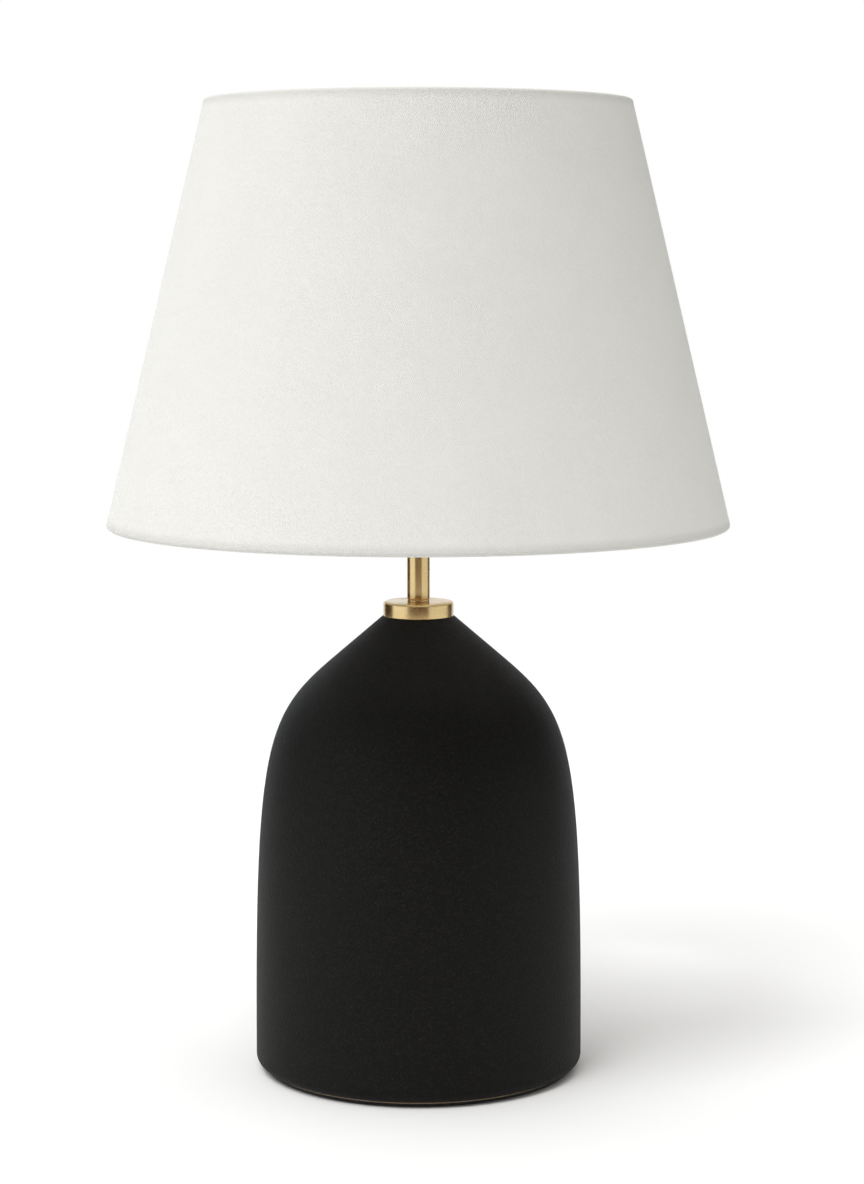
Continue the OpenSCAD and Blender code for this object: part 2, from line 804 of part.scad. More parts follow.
module bulb_insulator() {
    tip_r = 5;
    top_r = 10.8;
    color("#1c1c20") translate([0, 0, bulb_z + end_contact_h])
        cylinder(r1 = tip_r, r2 = top_r, h = bulb_insulator_h);
}

module bulb_end_contact() {
    tip_r = 3.2;
    top_r = 4.6;
    color("#b9bbbd") translate([0, 0, bulb_z]) cylinder(r1 = tip_r, r2 = top_r, h = end_contact_h);
}

module bulb_stem() {
    flange_r = 12;
    flange_h = 1;
    foot_r = 7;
    tip_r = 2.5;
    color("#e9f0f0") translate([0, 0, bulb_neck_z]) {
        cylinder(r = flange_r, h = flange_h);
        translate([0, 0, flange_h]) cylinder(r1 = foot_r, r2 = tip_r, h = stem_h - flange_h);
    }
}

module bulb_filament() {
    stem_top_z = bulb_neck_z + stem_h;
    support_r = 0.35;
    coil_r = 0.8;
    stand = filament_z - stem_top_z;
    support_lean = atan(filament_half / stand);
    color("#6f6f72") {
        for (side = [-1, 1]) translate([0, 0, stem_top_z])
            rotate([0, side * support_lean, 0]) cylinder(r = support_r, h = norm([stand, filament_half]));
        translate([-filament_half, 0, filament_z]) rotate([0, 90, 0])
            cylinder(r = coil_r, h = 2 * filament_half);
    }
}

// One leg of the harp, from its foot to the middle of the top
module harp_leg() {
    translate([harp_leg_x, 0, leg_z]) wire([
        [leg_straight],
        [lower_bend_r, harp_lean, 0],
        [lean_len],
        [upper_bend_r, harp_lean, 180],
        [leg_upper],
        [harp_shoulder_r, 90, 180],
        [harp_wide_x - harp_shoulder_r]
    ], harp_wire_r, $fn = 48);
}

module harp_frame() {
    color(satin_brass) difference() {
        union() {
            harp_leg();
            mirror([1, 0, 0]) harp_leg();
            translate([0, 0, eye_z]) cylinder(r = eye_r, h = eye_h);
        }
        translate([0, 0, eye_z - cut]) cylinder(r = rivet_r + slip, h = eye_h + 2 * cut);
    }
}

module harp_stud() {
    head_z = eye_z - face_gap - rivet_head_h;
    color(satin_brass) {
        translate([0, 0, head_z]) cylinder(r = rivet_head_r, h = rivet_head_h);
        translate([0, 0, head_z]) cylinder(r = rivet_r, h = stud_z - head_z);
        translate([0, 0, stud_z]) cylinder(r = stud_flange_r, h = stud_flange_h);
        translate([0, 0, post_z]) cylinder(r = post_r, h = post_h);
    }
}

module lock_sleeve(side) {
    color(satin_brass) translate([side * harp_leg_x, 0, lock_sleeve_z])
        tube(lock_sleeve_r, harp_wire_r + slip, lock_sleeve_h);
}

module sleeve_left() {
    lock_sleeve(-1);
}

module sleeve_right() {
    lock_sleeve(1);
}

// Where a straight line that leaves the roll of radius r reaches the tuck at x
function tuck_point(r, x) =
    let (leave = ring_inset + r * [-cos(tuck_angle), sin(tuck_angle)])
    [x, leave[1] + (x - leave[0]) / tan(tuck_angle)];

// The fabric where it is rolled round the lower ring and tucked behind the liner,
// from the outer face of the wall round to its inner face
function fabric_roll() = concat(
    arc(ring_inset, roll_r, 0, -180 - tuck_angle, 16),
    [tuck_point(roll_r, -tuck_x - fabric_t), [-tuck_x - fabric_t, roll_r + hem_h]],
    [[-tuck_x, roll_r + hem_h], tuck_point(roll_r - fabric_t, -tuck_x)],
    arc(ring_inset, roll_r - fabric_t, -180 - tuck_angle, 0, 16)
);

module shade_fabric() {
    lower = fabric_roll();
    upper = [for (i = [len(lower) - 1:-1:0]) [lower[i][0], shade_slant - lower[i][1]]];
    color(shade_white) along_shade() polygon(concat(lower, upper));
}

module shade_liner() {
    color("#f3f1ea") along_shade()
        translate([-fabric_t - slip - liner_t, liner_start])
            square([liner_t, shade_slant - 2 * liner_start]);
}

module top_ring() {
    color("#e9e8e4") along_shade()
        translate([-roll_r, shade_slant - roll_r]) circle(r = ring_wire_r, $fn = 32);
}

module bottom_ring() {
    color("#e9e8e4") along_shade() translate(ring_inset) circle(r = ring_wire_r, $fn = 32);
}

module shade_spider() {
    inner_hem = roll_r - ring_wire_r + 3 * slip;
    color("#e9e8e4") difference() {
        union() {
            translate([0, 0, washer_z]) cylinder(r = washer_r, h = washer_h);
            for (i = [0:arm_count - 1]) rotate(first_arm + i * 360 / arm_count)
                translate([arm_start_r, 0, washer_z + washer_h / 2]) rotate([0, 90, 0])
                    wire([
                        [arm_flat_len],
                        [arm_bend_r, arm_bend_angle, 180],
                        [arm_slope_len - ring_wire_r - inner_hem]
                    ], arm_wire_r, $fn = 32);
        }
        translate([0, 0, washer_z - cut]) cylinder(r = washer_hole_r, h = washer_h + 2 * cut);
    }
}

module finial() {
    knob_z = finial_h - finial_knob_r;
    foot_edge = 0.4;
    foot_slope_h = 1;
    waist_angle = -asin(finial_waist_r / finial_knob_r);
    color(satin_brass) translate([0, 0, finial_z]) difference() {
        rotate_extrude(angle = 360) polygon(concat(
            [[0, 0], [finial_foot_r, 0], [finial_foot_r, finial_foot_h - foot_edge]],
            [[finial_foot_r - foot_edge, finial_foot_h]],
            [[finial_waist_r, finial_foot_h + foot_slope_h]],
            arc([0, knob_z], finial_knob_r, -90 - waist_angle, 90, 18)
        ));
        translate([0, 0, -cut]) cylinder(r = finial_bore_r, h = finial_bore_h + cut);
    }
}

felt_pad();
base_plate();
base_nut();
lock_washer();
flat_washer();
ceramic_body();
rod_bush();
cord_bushing();
threaded_rod();
brass_cap();
neck_ring();
neck_tube();
harp_saddle();
terminal_block();
block_clamp_screws();
block_fixing_screw();
live_lead();
neutral_lead();
socket_cap();
socket_shell();
insulating_sleeve();
socket_core();
screw_shell();
centre_contact();
socket_terminal_screws();
switch_shaft();
switch_knob();
bulb_glass();
bulb_screw_cap();
bulb_insulator();
bulb_end_contact();
bulb_stem();
bulb_filament();
harp_frame();
harp_stud();
sleeve_left();
sleeve_right();
shade_fabric();
shade_liner();
top_ring();
bottom_ring();
shade_spider();
finial();
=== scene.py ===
import json
import math

import bmesh
import bpy
import numpy as np
from mathutils import Matrix, Vector


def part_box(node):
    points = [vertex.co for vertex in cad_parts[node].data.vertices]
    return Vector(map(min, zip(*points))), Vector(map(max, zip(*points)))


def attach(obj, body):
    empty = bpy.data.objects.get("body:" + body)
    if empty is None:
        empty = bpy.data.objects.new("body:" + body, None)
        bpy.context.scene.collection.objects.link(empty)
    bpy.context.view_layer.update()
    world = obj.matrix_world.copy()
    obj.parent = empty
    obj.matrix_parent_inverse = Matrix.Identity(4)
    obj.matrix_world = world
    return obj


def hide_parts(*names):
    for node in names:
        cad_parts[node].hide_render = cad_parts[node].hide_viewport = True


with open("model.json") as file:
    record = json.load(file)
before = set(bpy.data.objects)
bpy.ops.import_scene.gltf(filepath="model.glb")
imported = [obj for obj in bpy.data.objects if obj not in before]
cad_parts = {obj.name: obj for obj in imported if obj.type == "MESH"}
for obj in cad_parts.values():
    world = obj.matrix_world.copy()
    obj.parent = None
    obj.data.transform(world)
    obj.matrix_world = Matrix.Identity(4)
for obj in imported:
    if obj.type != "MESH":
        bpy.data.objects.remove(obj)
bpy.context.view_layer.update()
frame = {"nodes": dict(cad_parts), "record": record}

# Table lamp: a matt black ceramic dome, a brushed brass neck and a linen empire shade.
# Metres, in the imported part's own frame: +Z up, the front faces -Y.

MM = 0.001
TURN = 2 * math.pi

SLOT_OF = {part["node"]: part["material_slot"] for part in frame["record"]["subparts"]}
BODY_OF = {
    node: body
    for body, nodes in frame["record"]["behaviour"]["bodies"].items()
    for node in nodes
}

# Camera, at the height and angle of a product photograph
CAMERA_SPOT = (8.9 * MM, -1851 * MM, 534.1 * MM)
CAMERA_DOWN = math.radians(6.69)
CAMERA_LENS = 86.35
CAMERA_FILM = 36

# One soft key light, from in front and to the left
KEY_POWER = 1.3
KEY_SOFTNESS = math.radians(22)
KEY_FROM = (-0.29, -0.48, 0.83)

# The studio round the lamp: its ceiling, its left and right walls, and the wall in front
CEILING = (1.36, 1.36, 1.36)
WALLS = (1.1, 1.1, 1.1), (0.19, 0.17, 0.13)
FRONT = (0.34, 0.33, 0.31)
WHITE = (1.0, 1.0, 1.0)

# Where one passes into the next, along X, along Y and up Z, on a ball of radius 1
ACROSS, FORWARD, UPWARD = (-0.75, 0.5), (-0.95, -0.35), (0.6, 0.9)

# The table top
FLOOR_R = 1.2
FLOOR_H = 0.01

# A belt of panels with dark gaps, at the height that the brass reflects: degrees round from the
# front, the left side negative, and a colour. BELT is how far from level it starts and stops fading
BELT = 0.2, 0.34
BACK, LEFT, RIGHT = (0.98, 1.05, 1.12), (1.12, 1.2, 1.28), (0.92, 0.98, 1.02)
GAP, SIDE_GAP = (0.11, 0.06, 0.022), (0.05, 0.028, 0.01)
PANELS = [
    (-180, BACK),
    (-146, BACK),
    (-140, SIDE_GAP),
    (-97, SIDE_GAP),
    (-89, LEFT),
    (-38, LEFT),
    (-30, GAP),
    (31, GAP),
    (37, RIGHT),
    (106, RIGHT),
    (115, SIDE_GAP),
    (140, SIDE_GAP),
    (146, BACK),
    (180, BACK),
]

# How finely round pieces are turned
AROUND = 192
AROUND_LARGE = 288
AROUND_SHADE = 360
AROUND_SMALL = 96
AROUND_TINY = 64


# ---------------------------------------------------------------- sizes from the frame


def low(node):
    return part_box(node)[0]


def high(node):
    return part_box(node)[1]


def radius(node):
    return (high(node).x - low(node).x) / 2


def rings(node):
    """The CAD node's vertices as (distance from the Z axis, height)."""
    points = np.array([v.co for v in frame["nodes"][node].data.vertices], float)
    return np.column_stack([np.hypot(points[:, 0], points[:, 1]), points[:, 2]])


def widest_at(node, height, within=0.05 * MM):
    found = rings(node)
    return found[abs(found[:, 1] - height) < within, 0].max()


# ---------------------------------------------------------------- mesh building


def new_object(name, vertices, faces, sharp=40):
    mesh = bpy.data.meshes.new(name)
    mesh.from_pydata([tuple(v) for v in vertices], [], faces)
    work = bmesh.new()
    work.from_mesh(mesh)
    bmesh.ops.remove_doubles(work, verts=work.verts, dist=1e-7)
    bmesh.ops.recalc_face_normals(work, faces=work.faces)
    work.to_mesh(mesh)
    work.free()
    mesh.shade_smooth()
    mesh.set_sharp_from_angle(angle=math.radians(sharp))
    piece = bpy.data.objects.new(name, mesh)
    bpy.context.scene.collection.objects.link(piece)
    return piece


def lathe(name, outline, around=AROUND, closed=True, shape=None, sharp=40):
    """Turns an outline of (radius, height) points about Z. shape(r, z, angle) gives new r and z."""
    outline = np.array(outline, float)
    angle = np.arange(around) * TURN / around
    r, a = np.meshgrid(outline[:, 0], angle, indexing="ij")
    z = np.repeat(outline[:, 1:2], around, axis=1)
    if shape:
        r, z = shape(r, z, a)
    vertices = np.column_stack([(r * np.cos(a)).ravel(), (r * np.sin(a)).ravel(), z.ravel()])
    count = len(outline)
    faces = [
        (
            i * around + j,
            i * around + (j + 1) % around,
            (i + 1) % count * around + (j + 1) % around,
            (i + 1) % count * around + j,
        )
        for i in range(count if closed else count - 1)
        for j in range(around)
    ]
    return new_object(name, vertices, faces, sharp)


def rounded(corners, steps=6):
    """A closed outline with rounded corners. A corner is (x, y) or (x, y, rounding)."""
    points = []
    for i, corner in enumerate(corners):
        here = Vector(corner[:2])
        if len(corner) == 2:
            points.append(tuple(here))
            continue
        back = (Vector(corners[i - 1][:2]) - here).normalized()
        ahead = (Vector(corners[(i + 1) % len(corners)][:2]) - here).normalized()
        half = back.angle(ahead) / 2
        centre = here + (back + ahead).normalized() * (corner[2] / math.sin(half))
        start = here + back * (corner[2] / math.tan(half)) - centre
        end = here + ahead * (corner[2] / math.tan(half)) - centre
        swing = start.angle_signed(end)
        for k in range(steps + 1):
            turned = Matrix.Rotation(-swing * k / steps, 2) @ start
            points.append(tuple(centre + turned))
    return points


def arc(centre, r, start, end, steps):
    """Points on an arc, from one angle in degrees to another."""
    angles = np.radians(np.linspace(start, end, steps + 1))
    return [(centre[0] + r * math.cos(a), centre[1] + r * math.sin(a)) for a in angles]


def stretch(start, end, steps):
    """Points from start up to, but not with, end."""
    return [tuple(Vector(start).lerp(Vector(end), k / steps)) for k in range(steps)]


def ripple(a, z, seed, waves=5, lengthwise=0.3):
    """A smooth uneven surface about 1 high, from a few seeded waves round and along a piece."""
    draw = np.random.default_rng(seed)
    total = np.zeros_like(a)
    for n in range(1, waves + 1):
        lift = TURN * z / lengthwise * draw.uniform(-1, 1)
        total += np.cos(n * a + lift + draw.uniform(0, TURN)) / n**0.7
    return total / waves


def thread(bottom, top, pitch, depth, wall_r):
    """A shape for lathe() that raises a right-handed thread on the outer wall between two heights."""

    def shape(r, z, a):
        wave = 0.5 + 0.5 * np.cos(TURN * z / pitch - a)
        fade = np.clip(np.minimum(z - bottom, top - z) / pitch, 0, 1)
        return r + np.where(r > wall_r, depth * wave * fade, 0), z

    return shape


def stand_for(piece, node):
    """The piece takes the CAD node's place, body and finish."""
    piece.data.materials.append(FINISH[SLOT_OF[node]])
    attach(piece, BODY_OF[node])
    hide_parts(node)
    return piece


def cut_away(piece, cutter):
    """Takes the cutter's shape out of the piece, and the cutter out of the scene."""
    modifier = piece.modifiers.new("cut", "BOOLEAN")
    modifier.object = cutter
    modifier.solver = "EXACT"
    evaluated = piece.evaluated_get(bpy.context.evaluated_depsgraph_get())
    result = bpy.data.meshes.new_from_object(evaluated)
    piece.modifiers.clear()
    piece.data = result
    bpy.data.objects.remove(cutter)
    result.shade_smooth()
    result.set_sharp_from_angle(angle=math.radians(40))


# ---------------------------------------------------------------- materials


class Shader:
    """A material written as calls that each add one node and give back its socket."""

    def __init__(self, name, world=None):
        self.owner = world or bpy.data.materials.new(name)
        self.owner.use_nodes = True
        self.tree = self.owner.node_tree
        self.tree.nodes.clear()

    def add(self, kind, inputs, **settings):
        node = self.tree.nodes.new("ShaderNode" + kind)
        for key, value in settings.items():
            setattr(node, key, value)
        for key, value in inputs.items():
            if isinstance(value, bpy.types.NodeSocket):
                self.tree.links.new(value, node.inputs[key])
            else:
                node.inputs[key].default_value = value
        return node

    def place(self):
        """The piece's own coordinates, in metres."""
        return self.add("TexCoord", {}).outputs["Object"]

    def math(self, operation, a, b=0.0):
        return self.add("Math", {0: a, 1: b}, operation=operation).outputs[0]

    def weigh(self, *shares):
        """The sum of pairs of a value and its share."""
        total = None
        for value, share in shares:
            part = value if share == 1 else self.math("MULTIPLY", value, share)
            total = part if total is None else self.math("ADD", total, part)
        return total

    def reach(self, *lengths):
        """The square root of the sum of squares."""
        squares = [(self.math("MULTIPLY", length, length), 1) for length in lengths]
        return self.math("SQRT", self.weigh(*squares))

    def vector(self, operation, a, b):
        return self.add("VectorMath", {0: a, 1: b}, operation=operation).outputs[0]

    def split(self, vector):
        node = self.add("SeparateXYZ", {0: vector})
        return node.outputs[0], node.outputs[1], node.outputs[2]

    def join(self, x, y, z=0.0):
        return self.add("CombineXYZ", {0: x, 1: y, 2: z}).outputs[0]

    def noise(self, vector, scale, detail=2.0, roughness=0.5):
        inputs = {"Vector": vector, "Scale": scale, "Detail": detail, "Roughness": roughness}
        return self.add("TexNoise", inputs).outputs[0]

    def cells(self, vector, scale):
        """Distance to the nearest of many scattered points, and a random value for each."""
        node = self.add("TexVoronoi", {"Vector": vector, "Scale": scale})
        return node.outputs["Distance"], self.split(node.outputs["Color"])[0]

    def spread(self, value, start, end, low_to=0.0, high_to=1.0):
        inputs = {0: value, 1: start, 2: end, 3: low_to, 4: high_to}
        return self.add("MapRange", inputs, interpolation_type="SMOOTHSTEP").outputs[0]

    def mix(self, share, a, b):
        node = self.add("Mix", {0: share}, data_type="RGBA")
        for socket, value in ((node.inputs[6], a), (node.inputs[7], b)):
            if isinstance(value, bpy.types.NodeSocket):
                self.tree.links.new(value, socket)
            else:
                socket.default_value = (*value, 1)
        return node.outputs[2]

    def bump(self, height, distance, strength):
        inputs = {"Height": height, "Distance": distance, "Strength": strength}
        return self.add("Bump", inputs).outputs[0]

    def finish(self, **inputs):
        """The surface itself. Names use _ for spaces, and a plain colour has three numbers."""
        named = {}
        for key, value in inputs.items():
            plain = isinstance(value, tuple) and len(value) == 3
            named[key.replace("_", " ")] = (*value, 1) if plain else value
        node = self.add("BsdfPrincipled", named)
        self.add("OutputMaterial", {"Surface": node.outputs[0]})
        return self.owner


def linen(name, apex_z, spread_sine, light, dark, hems):
    """A plain weave laid flat and then wrapped round a cone, so its grain turns with the cone.
    hems are the distances from the cone's tip to the two edges."""
    s = Shader(name)
    warp, weft, grain_turn = 1.02 * MM, 0.80 * MM, math.radians(-23)
    x, y, z = s.split(s.place())
    slant = s.reach(x, y, s.math("SUBTRACT", apex_z, z))
    around = s.math("ARCTAN2", x, s.math("MULTIPLY", y, -1.0))
    turned = s.math("SUBTRACT", s.math("MULTIPLY", around, spread_sine), grain_turn)
    across = s.math("MULTIPLY", slant, s.math("SINE", turned))
    along = s.math("MULTIPLY", slant, s.math("COSINE", turned))
    cloth = s.join(across, along)
    # The yarns wander a little and swell into slubs
    sway_u = s.math("MULTIPLY", s.math("SUBTRACT", s.noise(cloth, 420.0), 0.5), 0.9 * MM)
    shifted = s.vector("ADD", cloth, (0.37, 0.91, 0.0))
    sway_v = s.math("MULTIPLY", s.math("SUBTRACT", s.noise(shifted, 460.0), 0.5), 0.8 * MM)
    u = s.math("MULTIPLY", s.math("ADD", across, sway_u), math.pi / warp)
    v = s.math("MULTIPLY", s.math("ADD", along, sway_v), math.pi / weft)
    sin_u, sin_v = s.math("SINE", u), s.math("SINE", v)
    over = s.math("MULTIPLY", sin_u, sin_v)
    half_over = s.math("MULTIPLY", over, 0.5)
    warp_lift = s.math("MULTIPLY", s.math("ABSOLUTE", sin_u), s.math("ADD", 0.5, half_over))
    weft_lift = s.math("MULTIPLY", s.math("ABSOLUTE", sin_v), s.math("SUBTRACT", 0.5, half_over))
    weave = s.math("MAXIMUM", warp_lift, weft_lift)
    slub_place = s.join(s.math("MULTIPLY", across, 1 / warp), s.math("MULTIPLY", along, 28.0))
    slub = s.spread(s.noise(slub_place, 1.0, 1.0), 0.66, 0.82)
    knot_place = s.join(s.math("MULTIPLY", across, 28.0), s.math("MULTIPLY", along, 1 / weft))
    knot = s.spread(s.noise(knot_place, 1.0, 1.0), 0.68, 0.84)
    fuzz = s.noise(cloth, 3600.0, 3.0, 0.6)
    pebble_place = s.join(s.math("MULTIPLY", across, 620.0), s.math("MULTIPLY", along, 430.0))
    pebble = s.noise(pebble_place, 1.0, 2.0, 0.6)
    height = s.weigh((weave, 2.0), (slub, 0.7), (knot, 0.7), (fuzz, 0.4), (pebble, 1.2))
    cloud = s.noise(cloth, 22.0, 3.0)
    tone = s.weigh((weave, 0.7), (fuzz, 0.1), (cloud, 0.12), (pebble, 0.28))
    colour = s.mix(s.spread(tone, 0.1, 0.85), dark, light)
    colour = s.mix(s.weigh((slub, 0.25), (knot, 0.25)), colour, (0.95, 0.945, 0.90))
    # Painted shade: the colour darkens near both hems, standing in for less light coming through
    # where the cloth is doubled over the rings
    top_hem, low_hem = hems
    top_hem_shade = s.spread(slant, top_hem + 8 * MM, top_hem + 2 * MM)
    low_hem_shade = s.spread(slant, low_hem - 8 * MM, low_hem - 2 * MM)
    hem_shade = s.weigh((top_hem_shade, 0.38), (low_hem_shade, 0.38))
    colour = s.mix(hem_shade, colour, tuple(0.85 * c for c in dark))
    return s.finish(
        Base_Color=colour,
        Roughness=s.spread(weave, 0.0, 1.0, 0.95, 0.82),
        Sheen_Weight=0.12,
        Sheen_Roughness=0.5,
        Specular_IOR_Level=0.25,
        Normal=s.bump(height, 0.16 * MM, 0.8),
    )


def sandy_glaze(name):
    """Matt black glaze, rough as fine sand, with a few pale grains."""
    s = Shader(name)
    place = s.place()
    sand = s.noise(place, 1500.0, 3.0, 0.65)
    coarse = s.noise(place, 680.0, 2.0, 0.6)
    cloud = s.noise(place, 16.0, 3.0, 0.55)
    near, pick = s.cells(place, 760.0)
    grain = s.math("MULTIPLY", s.spread(near, 0.42, 0.18), s.math("GREATER_THAN", pick, 0.55))
    tone = s.weigh((sand, 0.7), (coarse, 0.3))
    colour = s.mix(s.spread(tone, 0.35, 0.75), (0.0003, 0.0003, 0.0002), (0.012, 0.0115, 0.0103))
    colour = s.mix(s.spread(cloud, 0.35, 0.7, 0.0, 0.35), colour, (0.004, 0.0038, 0.0034))
    colour = s.mix(s.math("MULTIPLY", grain, pick), colour, (0.018, 0.0173, 0.0155))
    rough = s.spread(tone, 0.3, 0.7, 0.52, 0.66)
    height = s.weigh((sand, 1), (coarse, 2.2))
    normal = s.bump(height, 0.25 * MM, 0.9)
    return s.finish(Base_Color=colour, Roughness=rough, Specular_IOR_Level=0.13, Normal=normal)


def brushed_metal(name, colour, shade, roughness):
    """Metal turned in a lathe and brushed, with fine scratches round the Z axis."""
    s = Shader(name)
    place = s.place()
    x, y, z = s.split(place)
    around = s.math("MULTIPLY", s.math("ARCTAN2", y, x), 0.9)
    lines = s.math("MULTIPLY", s.weigh((z, 1), (s.reach(x, y), 1)), 5200.0)
    brush = s.noise(s.join(around, lines), 1.0, 3.0, 0.7)
    handled = s.noise(place, 60.0, 3.0, 0.6)
    tint = s.weigh((brush, 0.4), (handled, 0.6))
    rough = s.spread(tint, 0.3, 0.7, roughness - 0.06, roughness + 0.08)
    return s.finish(
        Base_Color=s.mix(s.spread(tint, 0.3, 0.75), colour, shade),
        Metallic=1.0,
        Roughness=rough,
        Anisotropic=0.3,
        Anisotropic_Rotation=0.25,
        Tangent=s.add("Tangent", {}, direction_type="RADIAL", axis="Z").outputs[0],
        Normal=s.bump(brush, 0.02 * MM, 0.12),
    )


def plated_metal(name, colour, shade, roughness, scale=900.0):
    """Metal with a fine even grain and slight tarnish."""
    s = Shader(name)
    place = s.place()
    grain = s.noise(place, scale, 3.0, 0.6)
    tarnish = s.noise(place, 90.0, 4.0, 0.6)
    return s.finish(
        Base_Color=s.mix(s.spread(tarnish, 0.35, 0.75), colour, shade),
        Metallic=1.0,
        Roughness=s.spread(grain, 0.3, 0.7, roughness - 0.02, roughness + 0.05),
        Normal=s.bump(grain, 0.006 * MM, 0.15),
    )


def moulded(name, colour, shade, roughness, scale=1200.0, relief=0.35):
    """Plastic, rubber or paint with a fine moulded texture."""
    s = Shader(name)
    place = s.place()
    grain = s.noise(place, scale, 2.0, 0.5)
    cloud = s.noise(place, 45.0, 3.0, 0.5)
    return s.finish(
        Base_Color=s.mix(s.spread(cloud, 0.3, 0.75), colour, shade),
        Roughness=s.spread(grain, 0.3, 0.7, roughness - 0.04, roughness + 0.07),
        Normal=s.bump(grain, 0.03 * MM, relief),
    )


def felt(name):
    """Pressed wool: short fibres lying every way."""
    s = Shader(name)
    place = s.place()
    fibre = s.noise(s.vector("MULTIPLY", place, (1.0, 0.25, 1.0)), 2600.0, 4.0, 0.7)
    cross = s.noise(s.vector("MULTIPLY", place, (0.25, 1.0, 1.0)), 2300.0, 4.0, 0.7)
    tufts = s.noise(place, 420.0, 3.0, 0.65)
    pile = s.math("MAXIMUM", fibre, cross)
    matted = s.weigh((pile, 0.6), (tufts, 0.4))
    colour = s.mix(s.spread(matted, 0.42, 0.68), (0.003, 0.003, 0.003), (0.03, 0.029, 0.028))
    return s.finish(
        Base_Color=colour,
        Roughness=s.spread(pile, 0.3, 0.8, 0.98, 0.9),
        Sheen_Weight=0.25,
        Sheen_Roughness=0.6,
        Specular_IOR_Level=0.15,
        Normal=s.bump(pile, 0.25 * MM, 0.7),
    )


def pressed_board(name, light, dark, layer=1400.0):
    """Fibre board or card: flat fibres in thin layers, so many to the metre."""
    s = Shader(name)
    fibre = s.noise(s.vector("MULTIPLY", s.place(), (320.0, 320.0, layer)), 1.0, 5.0, 0.7)
    colour = s.mix(s.spread(fibre, 0.32, 0.72), dark, light)
    return s.finish(
        Base_Color=colour,
        Roughness=s.spread(fibre, 0.3, 0.7, 0.88, 0.72),
        Specular_IOR_Level=0.3,
        Normal=s.bump(fibre, 0.08 * MM, 0.6),
    )


def frosted_glass(name):
    """A bulb's glass, etched white inside."""
    s = Shader(name)
    place = s.place()
    etch = s.noise(place, 1100.0, 3.0, 0.6)
    cloud = s.noise(place, 30.0, 2.0)
    colour = s.mix(s.spread(cloud, 0.3, 0.7), (0.90, 0.895, 0.87), (0.95, 0.945, 0.925))
    return s.finish(
        Base_Color=colour,
        Roughness=s.spread(etch, 0.3, 0.7, 0.28, 0.4),
        Coat_Weight=0.35,
        Coat_Roughness=0.12,
        Normal=s.bump(etch, 0.015 * MM, 0.5),
    )


def clear_glass(name):
    """Clear glass, drawn by hand so slightly wavy."""
    s = Shader(name)
    wave = s.noise(s.place(), 140.0, 2.0)
    return s.finish(
        Base_Color=s.mix(s.spread(wave, 0.3, 0.7), (0.95, 0.98, 0.97), (0.99, 1.0, 0.99)),
        Roughness=s.spread(wave, 0.3, 0.7, 0.01, 0.05),
        Transmission_Weight=1.0,
        IOR=1.5,
        Normal=s.bump(wave, 0.05 * MM, 0.2),
    )


# The shade's cone, from the liner's outer face
liner_rings = rings("shade_liner")
LINER_FOOT = liner_rings[liner_rings[:, 0].argmax()]
liner_rim = liner_rings[liner_rings[:, 1] > high("shade_liner").z - 1 * MM]
LINER_HEAD = liner_rim[liner_rim[:, 0].argmax()]
WALL_UP = (Vector(LINER_HEAD) - Vector(LINER_FOOT)).normalized()
WALL_OUT = Vector((WALL_UP.y, -WALL_UP.x))
CONE_SINE = -WALL_UP.x

# The cloth, the liner and the glue between them, and the cloth's roll round a ring and its hem
FABRIC, LINER, GLUE = 0.6 * MM, 0.8 * MM, 0.1 * MM
ROLL_R, HEM_H = 2.3 * MM, 10 * MM
LINER_START = 2 * ROLL_R + GLUE
WALL_FOOT = Vector(LINER_FOOT) + WALL_OUT * (FABRIC + GLUE) - WALL_UP * LINER_START
WALL_LENGTH = (Vector(LINER_HEAD) - Vector(LINER_FOOT)).length + 2 * LINER_START
CONE_APEX_Z = WALL_FOOT.y + WALL_FOOT.x * WALL_UP.y / CONE_SINE
FOOT_SLANT = WALL_FOOT.x / CONE_SINE
HEMS = FOOT_SLANT - WALL_LENGTH, FOOT_SLANT

